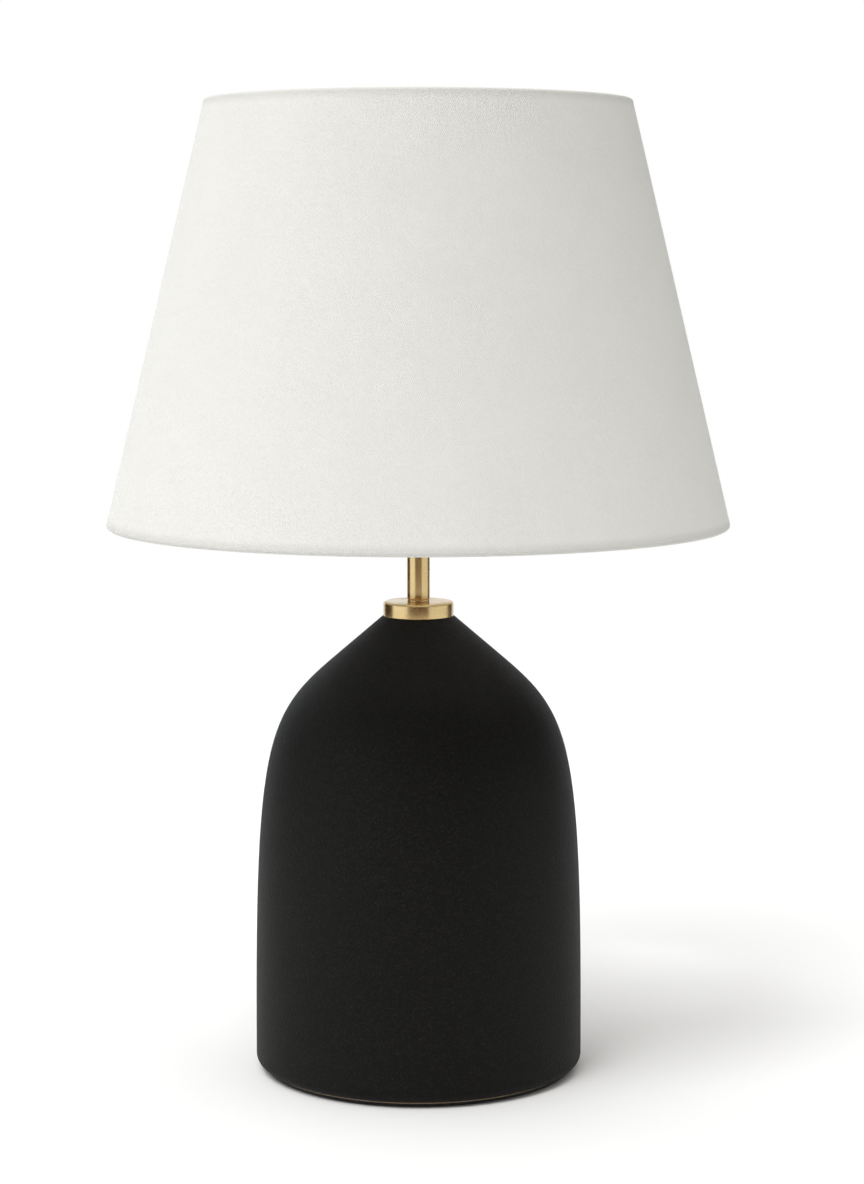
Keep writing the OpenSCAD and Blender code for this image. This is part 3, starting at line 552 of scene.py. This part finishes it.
# Each slot's finish: the function that makes it, then that function's settings
RECIPES = {
    "linen_white": (linen, CONE_APEX_Z, CONE_SINE, (0.94, 0.93, 0.89), (0.67, 0.66, 0.615), HEMS),
    "liner_white": (moulded, (0.86, 0.85, 0.82), (0.80, 0.79, 0.76), 0.5, 700.0, 0.2),
    "wire_white": (moulded, (0.80, 0.79, 0.77), (0.74, 0.73, 0.71), 0.42, 1500.0, 0.4),
    "ceramic_black": (sandy_glaze,),
    "brass_satin": (brushed_metal, (0.73, 0.535, 0.265), (0.63, 0.445, 0.2), 0.23),
    "brass_socket": (plated_metal, (0.70, 0.53, 0.28), (0.56, 0.40, 0.19), 0.24),
    "contact_brass": (plated_metal, (0.74, 0.56, 0.28), (0.6, 0.43, 0.2), 0.2),
    "harp_brass": (plated_metal, (0.66, 0.50, 0.26), (0.54, 0.39, 0.19), 0.26, 1500.0),
    "steel_zinc": (plated_metal, (0.62, 0.63, 0.65), (0.50, 0.50, 0.49), 0.3),
    "shell_alloy": (plated_metal, (0.78, 0.77, 0.74), (0.66, 0.65, 0.62), 0.28),
    "bulb_cap_metal": (plated_metal, (0.80, 0.80, 0.79), (0.68, 0.68, 0.67), 0.24),
    "solder_grey": (plated_metal, (0.56, 0.56, 0.57), (0.44, 0.44, 0.45), 0.45, 500.0),
    "tungsten_grey": (plated_metal, (0.3, 0.3, 0.31), (0.22, 0.22, 0.23), 0.4),
    "felt_black": (felt,),
    "board_brown": (pressed_board, (0.37, 0.28, 0.19), (0.24, 0.17, 0.11)),
    "fibre_sleeve": (pressed_board, (0.62, 0.52, 0.37), (0.46, 0.37, 0.25), 300.0),
    "rubber_black": (moulded, (0.018, 0.018, 0.018), (0.03, 0.03, 0.029), 0.62),
    "block_white": (moulded, (0.78, 0.77, 0.72), (0.72, 0.71, 0.66), 0.42),
    "lead_dark": (moulded, (0.022, 0.022, 0.022), (0.035, 0.034, 0.033), 0.4),
    "lead_pale": (moulded, (0.76, 0.75, 0.71), (0.70, 0.69, 0.65), 0.4),
    "core_dark": (moulded, (0.035, 0.024, 0.019), (0.06, 0.042, 0.033), 0.28),
    "knob_dark": (moulded, (0.02, 0.018, 0.016), (0.032, 0.029, 0.026), 0.25),
    "bulb_black_glass": (moulded, (0.015, 0.015, 0.02), (0.03, 0.03, 0.04), 0.15),
    "bulb_frosted": (frosted_glass,),
    "glass_clear": (clear_glass,),
}
FINISH = {slot: make(slot, *settings) for slot, (make, *settings) in RECIPES.items()}

# The curve from the bulb's neck into its ball
NECK_TURN, NECK_PULL, NECK_BLEND = math.radians(35), 15 * MM, 14 * MM

# The cord bushing's flange, the holes that the threaded rod passes through, and the bulb's thread
FLANGE_H = 2 * MM
ROD_HOLE_R = 5.1 * MM
BULB_PITCH = 3.6 * MM


# ---------------------------------------------------------------- the body and its foot


def smooth_curve(points, steps):
    """Points on a smooth curve through the given ones, however unevenly they are spaced."""
    p = np.array(points, float)
    gap = np.linalg.norm(np.diff(p, axis=0), axis=1)[:, None]
    step = np.diff(p, axis=0) / gap
    middle = (step[:-1] * gap[1:] + step[1:] * gap[:-1]) / (gap[:-1] + gap[1:])
    way = np.vstack([step[:1], middle, step[-1:]])
    found = []
    for i in range(len(p) - 1):
        for t in np.linspace(0, 1, steps, endpoint=False):
            found.append(
                (2 * t**3 - 3 * t**2 + 1) * p[i]
                + (t**3 - 2 * t**2 + t) * gap[i] * way[i]
                + (3 * t**2 - 2 * t**3) * p[i + 1]
                + (t**3 - t**2) * gap[i] * way[i + 1]
            )
    return [tuple(q) for q in [*found, p[-1]]]


def outer_outline(node):
    """The outside of a rounded CAD node, from its foot to its top, as a hull of (radius, height)."""
    chain = []
    for point in sorted({(round(z, 6), round(r, 6)) for r, z in rings(node)}):
        while len(chain) > 1:
            (z0, r0), (z1, r1) = chain[-2], chain[-1]
            if (z1 - z0) * (point[1] - r0) - (r1 - r0) * (point[0] - z0) < 0:
                break
            chain.pop()
        chain.append(point)
    return [(r, z) for z, r in chain]


def ceramic_body():
    """The dome: smooth outside, an even wall, and a seat and hole for the cord at the back."""
    wall, top_wall, hole_r = 7 * MM, 8 * MM, 7 * MM
    foot_z, top_z = low("ceramic_body").z, high("ceramic_body").z
    foot_h, ledge_r = 6 * MM, 96 * MM
    top_r = widest_at("ceramic_body", top_z)
    hull = outer_outline("ceramic_body")
    foot = arc((radius("ceramic_body") - foot_h, foot_z + foot_h), foot_h, -90, 0, 16)
    curve = smooth_curve([p for p in hull if foot_z + foot_h < p[1] < top_z - 5 * MM], 4)
    curve = [foot[-1], *curve]
    inner = []
    for before, here, after in zip(curve, curve[1:], curve[2:]):
        way = (Vector(after) - Vector(before)).normalized()
        inner.append(Vector(here) + wall * Vector((-way.y, way.x)))
    cone = (Vector((top_r, top_z)) - Vector(curve[-1])).normalized()
    roof_z = top_z - top_wall
    roof_r = inner[-1].x + (roof_z - inner[-1].y) * cone.x / cone.y
    neck = rounded([curve[-1], (top_r, top_z, 1.2 * MM), (hole_r, top_z, 0.5 * MM), (hole_r, roof_z)])
    outline = [
        *foot[:-1],
        *curve[:-1],
        *neck,
        (roof_r, roof_z),
        *inner[::-1],
        (inner[0].x, foot_z + foot_h),
        (ledge_r, foot_z + foot_h),
        (ledge_r, foot_z),
    ]
    piece = lathe("ceramic_body_fine", outline, AROUND_LARGE)
    bushing_low, bushing_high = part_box("cord_bushing")
    inlet_r, seat_r, deep, clear = 5.2 * MM, 8.4 * MM, 30 * MM, 10 * MM
    hole = [(0, -deep), (inlet_r, -deep), (inlet_r, 0), (seat_r, 0), (seat_r, clear), (0, clear)]
    cutter = lathe("cutter", hole, AROUND_TINY, closed=False)
    seat = Vector((0, bushing_high.y - FLANGE_H, (bushing_low.z + bushing_high.z) / 2))
    cutter.data.transform(Matrix.Translation(seat) @ Matrix.Rotation(-math.pi / 2, 4, "X"))
    cut_away(piece, cutter)
    return stand_for(piece, "ceramic_body")


def cord_bushing():
    """A rubber grommet in the back of the foot."""
    bushing_low, bushing_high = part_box("cord_bushing")
    flange_r, barrel_r, bore_r = radius("cord_bushing"), 5 * MM, 3.6 * MM
    depth = bushing_high.y - bushing_low.y
    outline = rounded(
        [
            (bore_r, 0, 0.3 * MM),
            (barrel_r, 0, 0.6 * MM),
            (barrel_r, depth - FLANGE_H),
            (flange_r, depth - FLANGE_H, 0.3 * MM),
            (flange_r, depth, 1.0 * MM),
            (bore_r, depth, 0.9 * MM),
        ]
    )
    piece = lathe("cord_bushing_fine", outline, AROUND_SMALL)
    centre_z = (bushing_low.z + bushing_high.z) / 2
    spot = Matrix.Translation((0, bushing_low.y, centre_z)) @ Matrix.Rotation(-math.pi / 2, 4, "X")
    piece.data.transform(spot)
    return stand_for(piece, "cord_bushing")


def felt_pad():
    """A disc of felt with a slightly ragged edge."""
    r, top, bend = radius("felt_pad"), high("felt_pad").z, 0.6 * MM
    outline = [
        (0, 0),
        *stretch((0.2 * r, 0), (r - bend, 0), 6),
        *arc((r - bend, bend), bend, -90, 0, 3),
        *arc((r - bend, top - bend), bend, 0, 90, 3),
        *stretch((r - 0.8 * MM, top), (0.2 * r, top), 6),
        (0, top),
    ]
    edge_w, fray = 2 * MM, 0.12 * MM

    def ragged(ring, z, a):
        edge = np.clip((ring - r + edge_w) / edge_w, 0, 1)
        return ring - edge * fray * (1 + ripple(17 * a, z, 3)), z

    piece = lathe("felt_pad_fine", outline, AROUND_LARGE, closed=False, shape=ragged)
    stand_for(piece, "felt_pad")
    return piece


# ---------------------------------------------------------------- the brass stem


def turned(node, corners):
    """A turned piece in a node's place, from its outline's corners."""
    return stand_for(lathe(node + "_fine", rounded(corners)), node)


def brass_cap():
    r, bottom, top = radius("brass_cap"), low("brass_cap").z, high("brass_cap").z
    wall, hole = 1.8 * MM, ROD_HOLE_R
    return turned(
        "brass_cap",
        [
            (r, bottom, 0.45 * MM),
            (r, top, 1.6 * MM),
            (hole, top, 0.2 * MM),
            (hole, top - wall),
            (r - wall, top - wall, 0.8 * MM),
            (r - wall, bottom, 0.2 * MM),
        ],
    )


def neck_ring():
    r, hole = radius("neck_ring"), ROD_HOLE_R
    bottom, top = low("neck_ring").z, high("neck_ring").z
    return turned(
        "neck_ring",
        [(r, bottom, 0.25 * MM), (r, top, 0.45 * MM), (hole, top), (hole, bottom)],
    )


def neck_tube():
    r, hole = radius("neck_tube"), 5.2 * MM
    bottom, top = low("neck_tube").z, high("neck_tube").z
    return turned(
        "neck_tube",
        [(r, bottom, 0.7 * MM), (r, top, 0.5 * MM), (hole, top), (hole, bottom)],
    )


def finial():
    """A small knob: foot, waist and ball, with a blind threaded hole."""
    bottom, top, ball_r = low("finial").z, high("finial").z, radius("finial")
    foot_r, waist_r, bore_r, bore_h = 6.5 * MM, 4.6 * MM, 3.27 * MM, 12.9 * MM
    centre = (0, top - ball_r)
    waist_z = centre[1] - math.sqrt(ball_r**2 - waist_r**2)
    start = math.degrees(math.atan2(waist_z - centre[1], waist_r))
    lower = rounded(
        [
            (bore_r, bottom, 0.2 * MM),
            (foot_r, bottom, 0.4 * MM),
            (foot_r, bottom + 2 * MM, 0.7 * MM),
            (waist_r, bottom + 3 * MM, 0.5 * MM),
            (waist_r, waist_z),
        ]
    )
    ball = arc(centre, ball_r, start, 90, 24)[1:]
    outline = [*lower, *ball, (0, bottom + bore_h), (bore_r, bottom + bore_h)]
    return stand_for(lathe("finial_fine", outline, AROUND_SMALL), "finial")


def harp_stud():
    """The riveted stud on the harp: head, shank, flange and threaded post."""
    bottom, top = low("harp_stud").z, high("harp_stud").z
    head_r, head_h, shank_r, post_r = 3.4 * MM, 1.4 * MM, 1.85 * MM, 3.17 * MM
    flange_r = radius("harp_stud")
    post_z = top - 13.5 * MM
    flange_z = post_z - 1.4 * MM
    depth = 0.42 * MM
    outline = [
        (0, bottom),
        *arc((head_r - 0.7 * MM, bottom + 0.7 * MM), 0.7 * MM, -90, 0, 5),
        (head_r, bottom + head_h),
        (shank_r, bottom + head_h),
        (shank_r, flange_z),
        *rounded(
            [
                (shank_r, flange_z),
                (flange_r, flange_z, 0.3 * MM),
                (flange_r, post_z, 0.4 * MM),
                (post_r - depth, post_z),
            ]
        )[1:],
        *stretch((post_r - depth, post_z), (post_r - depth, top - 0.6 * MM), 110),
        (post_r - depth, top - 0.6 * MM),
        (post_r - 0.9 * MM, top),
        (0, top),
    ]
    wave = thread(post_z + 0.3 * MM, top - 0.3 * MM, 0.94 * MM, depth, post_r - 1.2 * depth)

    def shape(r, z, a):
        return np.where((z > post_z + 0.1 * MM), wave(r, z, a)[0], r), z

    piece = lathe("harp_stud_fine", outline, AROUND_TINY, closed=False, shape=shape)
    return stand_for(piece, "harp_stud")


def lock_sleeve(node):
    """A ferrule with rolled ends that slides on the harp's leg."""
    bottom, top, r, bore = low(node).z, high(node).z, radius(node), 1.7 * MM
    centre_x = (low(node).x + high(node).x) / 2
    waist = r - 0.45 * MM
    outline = rounded(
        [
            (bore, bottom, 0.15 * MM),
            (r, bottom, 0.4 * MM),
            (r, bottom + 1.6 * MM, 0.4 * MM),
            (waist, bottom + 2.2 * MM, 0.3 * MM),
            (waist, top - 2.2 * MM, 0.3 * MM),
            (r, top - 1.6 * MM, 0.4 * MM),
            (r, top, 0.4 * MM),
            (bore, top, 0.15 * MM),
        ]
    )
    piece = lathe(node + "_fine", outline, AROUND_TINY)
    piece.data.transform(Matrix.Translation((centre_x, 0, 0)))
    return stand_for(piece, node)


# ---------------------------------------------------------------- the socket, switch and bulb


def socket_cap():
    """The cup under the socket, with a rolled bead below its rim."""
    bottom, top, r = low("socket_cap").z, high("socket_cap").z, radius("socket_cap")
    bore, inner_r, ledge_r, ledge_z = 4.95 * MM, r - 0.7 * MM, 13 * MM, bottom + 14 * MM
    hub_r, floor = 8 * MM, 2 * MM
    return turned(
        "socket_cap",
        [
            (bore, bottom, 0.2 * MM),
            (r - 0.3 * MM, bottom, 6 * MM),
            (r - 0.3 * MM, top - 5 * MM, 0.4 * MM),
            (r, top - 4.4 * MM, 0.4 * MM),
            (r, top - 3.2 * MM, 0.4 * MM),
            (r - 0.3 * MM, top - 2.6 * MM, 0.4 * MM),
            (r - 0.3 * MM, top, 0.15 * MM),
            (inner_r, top, 0.15 * MM),
            (inner_r, ledge_z),
            (ledge_r, ledge_z),
            (ledge_r, bottom + floor, 3 * MM),
            (hub_r, bottom + floor),
            (hub_r, bottom + 8 * MM),
            (bore, bottom + 8 * MM),
        ],
    )


def socket_shell():
    """The brass shell: two rolled beads, a bell mouth and a hole for the switch."""
    bottom, top, mouth_r = low("socket_shell").z, high("socket_shell").z, radius("socket_shell")
    r, wall, bead = 16.2 * MM, 0.6 * MM, 0.35 * MM
    beads = []
    for at in (bottom + 22 * MM, bottom + 44 * MM):
        beads += [
            (r, at - 1.6 * MM, 0.5 * MM),
            (r + bead, at - 0.8 * MM, 0.5 * MM),
            (r + bead, at + 0.8 * MM, 0.5 * MM),
            (r, at + 1.6 * MM, 0.5 * MM),
        ]
    outline = rounded(
        [
            (r - wall, bottom),
            (r, bottom),
            *beads,
            (r, top - 3 * MM, 0.6 * MM),
            (mouth_r, top - 1.2 * MM, 0.5 * MM),
            (mouth_r, top, 0.25 * MM),
            (mouth_r - wall, top, 0.25 * MM),
            (mouth_r - wall, top - 1.2 * MM, 0.3 * MM),
            (r - wall, top - 3 * MM, 0.5 * MM),
        ]
    )
    piece = lathe("socket_shell_fine", outline)
    hole_r, reach, clear = 3.5 * MM, 30 * MM, 5 * MM
    hole = [(0, 0), (hole_r, 0), (hole_r, reach), (0, reach)]
    cutter = lathe("cutter", hole, 48, closed=False)
    knob_low, knob_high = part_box("switch_knob")
    spot = Matrix.Translation((0, -clear, (knob_low.z + knob_high.z) / 2))
    cutter.data.transform(spot @ Matrix.Rotation(math.pi / 2, 4, "X"))
    cut_away(piece, cutter)
    return stand_for(piece, "socket_shell")


def screw_shell():
    """The threaded liner that the bulb screws into."""
    bottom, top = low("screw_shell").z, high("screw_shell").z
    depth, wall, steps = 0.45 * MM, 0.3 * MM, 60
    root = radius("screw_shell") - 0.1 * MM
    outline = [
        *stretch((root, bottom), (root, top), steps),
        (root, top),
        *stretch((root - wall, top), (root - wall, bottom), steps),
        (root - wall, bottom),
    ]
    shape = thread(bottom, top, BULB_PITCH, depth, 0)
    piece = lathe("screw_shell_fine", outline, AROUND_SMALL, shape=shape)
    return stand_for(piece, "screw_shell")


def bulb_glass():
    """The bulb's glass: a ball that runs down into a straight neck, open at its foot."""
    node, wall, turn = "bulb_glass", 0.9 * MM, NECK_TURN
    bottom, top, ball_r = low(node).z, high(node).z, radius(node)
    neck_r, centre_z = widest_at(node, bottom), top - ball_r

    def side(inset):
        r = ball_r - inset
        joint = np.array((r * math.cos(turn), centre_z - r * math.sin(turn)))
        start = np.array((neck_r - inset, bottom))
        way = np.array((math.sin(turn), math.cos(turn)))
        pulls = start + (0, NECK_PULL), joint - NECK_BLEND * way
        neck = [
            (1 - t) ** 3 * start
            + 3 * (1 - t) ** 2 * t * pulls[0]
            + 3 * (1 - t) * t**2 * pulls[1]
            + t**3 * joint
            for t in np.linspace(0, 1, 40, endpoint=False)
        ]
        return [*neck, *arc((0, centre_z), r, -math.degrees(turn), 90, 72)]

    outline = [*side(0), *side(wall)[::-1]]
    return stand_for(lathe("bulb_glass_fine", outline, 144), node)


def bulb_screw_cap():
    """The bulb's cap: a helical thread with a plain collar above it."""
    node = "bulb_screw_cap"
    bottom, top, crest = low(node).z, high(node).z, radius(node)
    depth, hole_r, steps = 0.75 * MM, 10 * MM, 64
    root = crest - depth
    outline = [
        (hole_r, bottom),
        *arc((root - 0.9 * MM, bottom + 0.9 * MM), 0.9 * MM, -90, 0, 4),
        *stretch((root, bottom + 1.2 * MM), (root, top - 0.8 * MM), steps),
        (root, top - 0.8 * MM),
        (root + 0.2 * MM, top - 0.5 * MM),
        (root + 0.2 * MM, top),
        (hole_r, top),
    ]
    shape = thread(bottom + 0.6 * MM, top - 2.2 * MM, BULB_PITCH, depth, root - 0.05 * MM)
    return stand_for(lathe("bulb_screw_cap_fine", outline, 128, shape=shape), node)


def switch_knob():
    """A turned knob with grip flutes and a domed end, facing the front."""
    node = "switch_knob"
    knob_low, knob_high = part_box(node)
    r, length, flutes, flute = radius(node), knob_high.y - knob_low.y, 16, 0.55 * MM
    bore_r, bore_h = 1.66 * MM, 9 * MM
    outline = rounded(
        [
            (bore_r, 0),
            (r - 0.3 * MM, 0, 0.5 * MM),
            (r, 1.2 * MM, 0.5 * MM),
            (r, length - 1.6 * MM, 0.9 * MM),
            (r - 1.4 * MM, length, 0.9 * MM),
            (0, length),
            (0, bore_h),
            (bore_r, bore_h),
        ]
    )

    def fluted(ring, z, a):
        side = np.clip((ring - 0.8 * r) / (0.2 * r), 0, 1)
        middle = np.clip(np.minimum(z - 1 * MM, length - 1.2 * MM - z) / MM, 0, 1)
        groove = (0.5 + 0.5 * np.cos(flutes * a)) ** 3
        return ring - flute * side * middle * groove, z

    piece = lathe("switch_knob_fine", outline, flutes * 12, shape=fluted)
    spot = Matrix.Translation((0, knob_high.y, (knob_low.z + knob_high.z) / 2))
    piece.data.transform(spot @ Matrix.Rotation(math.pi / 2, 4, "X"))
    return stand_for(piece, node)


# ---------------------------------------------------------------- the shade


def on_wall(out, up):
    """A point given by its distance out from the shade's outer face and up the slope."""
    return tuple(WALL_FOOT + WALL_OUT * out + WALL_UP * up)


def roll_outline():
    """The fabric round the lower ring and behind the liner, in wall coordinates."""
    centre, tuck, turn = (-ROLL_R, ROLL_R), FABRIC + LINER + 2 * GLUE, 40
    inner_r, end = ROLL_R - FABRIC, ROLL_R + HEM_H

    def reach(r, x):
        """Where a straight line that leaves the roll of radius r comes to x."""
        (start_x, start_y), = arc(centre, r, 180 - turn, 0, 0)
        return x, start_y + (x - start_x) / math.tan(math.radians(turn))

    outer_bend, inner_bend = reach(ROLL_R, -tuck - FABRIC), reach(inner_r, -tuck)
    return [
        *arc(centre, ROLL_R, 0, -180 - turn, 26),
        *stretch(outer_bend, (outer_bend[0], end), 3),
        (outer_bend[0], end),
        (inner_bend[0], end),
        inner_bend,
        *arc(centre, inner_r, -180 - turn, 0, 16),
    ]


def shade_fabric():
    """The cloth: glued to the liner, rolled over both rings, and lapped in a seam at the back."""
    lower = roll_outline()
    upper = [(out, WALL_LENGTH - up) for out, up in lower[::-1]]
    wall_steps = 70
    inner_face = stretch((-FABRIC, ROLL_R), (-FABRIC, WALL_LENGTH - ROLL_R), wall_steps)[1:]
    outer_face = stretch((0, WALL_LENGTH - ROLL_R), (0, ROLL_R), wall_steps)[1:]
    flat = [*lower, *inner_face, *upper, *outer_face]
    seam_at, seam_w, seam_h, seam_ramp = math.pi / 2, 12 * MM, 0.45 * MM, 4 * MM
    wall_wave, edge_wave, edge_h = 0.10 * MM, 0.16 * MM, 5 * MM

    def shape(r, z, a):
        along = (z - WALL_FOOT.y) / (WALL_LENGTH * WALL_UP.y)
        out = wall_wave * ripple(a, z, 11, 7, 0.2)
        edge = np.exp(-(((along * WALL_LENGTH) / edge_h) ** 2))
        edge += np.exp(-((((1 - along) * WALL_LENGTH) / edge_h) ** 2))
        out += edge * edge_wave * ripple(9 * a, z, 5, 6)
        gap = (a - seam_at) * r
        lap = np.clip((gap + seam_w) / seam_ramp, 0, 1) * (gap < 0) * (gap > -seam_w)
        out += seam_h * lap
        return r + out * WALL_OUT.x, z + out * WALL_OUT.y

    outline = [on_wall(*p) for p in flat]
    piece = lathe("shade_fabric_fine", outline, AROUND_SHADE, shape=shape, sharp=60)
    stand_for(piece, "shade_fabric")
    return piece


def shade_liner():
    """The stiff white liner inside the cloth."""
    face, back, liner_wave = -FABRIC - GLUE, -FABRIC - GLUE - LINER, 0.05 * MM
    start, end = LINER_START, WALL_LENGTH - LINER_START
    flat = [
        *stretch((face, start), (face, end), 24),
        (face, end),
        *stretch((back, end), (back, start), 24),
        (back, start),
    ]

    def shape(r, z, a):
        return r + liner_wave * ripple(a, z, 23, 5), z

    piece = lathe("shade_liner_fine", [on_wall(*p) for p in flat], AROUND_SHADE, shape=shape)
    return stand_for(piece, "shade_liner")


# ---------------------------------------------------------------- stage, light and camera


def camera():
    data = bpy.data.cameras.new("camera")
    data.lens = CAMERA_LENS
    data.sensor_width = CAMERA_FILM
    spot = bpy.data.objects.new("camera", data)
    spot.location = CAMERA_SPOT
    spot.rotation_euler = (math.pi / 2 - CAMERA_DOWN, 0, 0)
    bpy.context.scene.collection.objects.link(spot)
    bpy.context.scene.camera = spot


def floor():
    """A plain pale table top, so pale that its edge is lost in the white studio."""
    s = Shader("floor_white")
    fleck = s.noise(s.place(), 3.0, 2.0)
    material = s.finish(
        Base_Color=s.mix(s.spread(fleck, 0.3, 0.7), (0.94, 0.94, 0.935), (0.95, 0.95, 0.945)),
        Roughness=0.7,
        Specular_IOR_Level=0.1,
    )
    outline = [(0, 0), (FLOOR_R / 4, 0), (FLOOR_R, 0), (FLOOR_R, -FLOOR_H), (0, -FLOOR_H)]
    piece = lathe("floor", outline, AROUND_SMALL, closed=False)
    piece.data.materials.append(material)


def key_light():
    data = bpy.data.lights.new("key", "SUN")
    data.energy = KEY_POWER
    data.angle = KEY_SOFTNESS
    light = bpy.data.objects.new("key", data)
    light.rotation_euler = Vector(KEY_FROM).to_track_quat("Z", "Y").to_euler()
    bpy.context.scene.collection.objects.link(light)


def studio():
    """White to the eye. The lamp itself is lit by pale walls and a ceiling, and the brass reflects
    a belt of panels with dark gaps between them."""
    s = Shader("studio", bpy.data.worlds.new("studio"))
    bpy.context.scene.world = s.owner
    x, y, z = s.split(s.add("TexCoord", {}).outputs["Generated"])
    turn = s.math("MULTIPLY", s.math("ARCTAN2", x, s.math("MULTIPLY", y, -1.0)), 1 / TURN)
    ramp = s.add("ValToRGB", {0: s.math("ADD", turn, 0.5)})
    stops = ramp.color_ramp.elements
    for i, (degrees, colour) in enumerate(PANELS):
        stop = stops[0] if i == 0 else stops.new(0.5 + degrees / 360)
        stop.position = 0.5 + degrees / 360
        stop.color = (*colour, 1)
    stops.remove(stops[-1])
    walls = s.mix(s.spread(x, *ACROSS), *WALLS)
    walls = s.mix(s.spread(y, *FORWARD), FRONT, walls)
    upper = s.mix(s.spread(z, *UPWARD), walls, CEILING)
    light = s.mix(s.spread(s.math("ABSOLUTE", z), *BELT), ramp.outputs[0], upper)
    seen = s.add("LightPath", {}).outputs["Is Camera Ray"]
    background = s.add("Background", {"Color": s.mix(seen, light, WHITE)})
    s.add("OutputWorld", {"Surface": background.outputs[0]})
    view = bpy.context.scene.view_settings
    view.view_transform = "Standard"
    view.look = "None"


# ---------------------------------------------------------------- the whole lamp

camera()

for node, piece in frame["nodes"].items():
    for material_slot in piece.material_slots:
        material_slot.material = FINISH[SLOT_OF[node]]

ceramic_body()
cord_bushing()
felt_pad()
brass_cap()
neck_ring()
neck_tube()
finial()
harp_stud()
lock_sleeve("sleeve_left")
lock_sleeve("sleeve_right")
socket_cap()
socket_shell()
screw_shell()
bulb_glass()
bulb_screw_cap()
switch_knob()
shade_liner()
shade_fabric()
floor()
key_light()
studio()
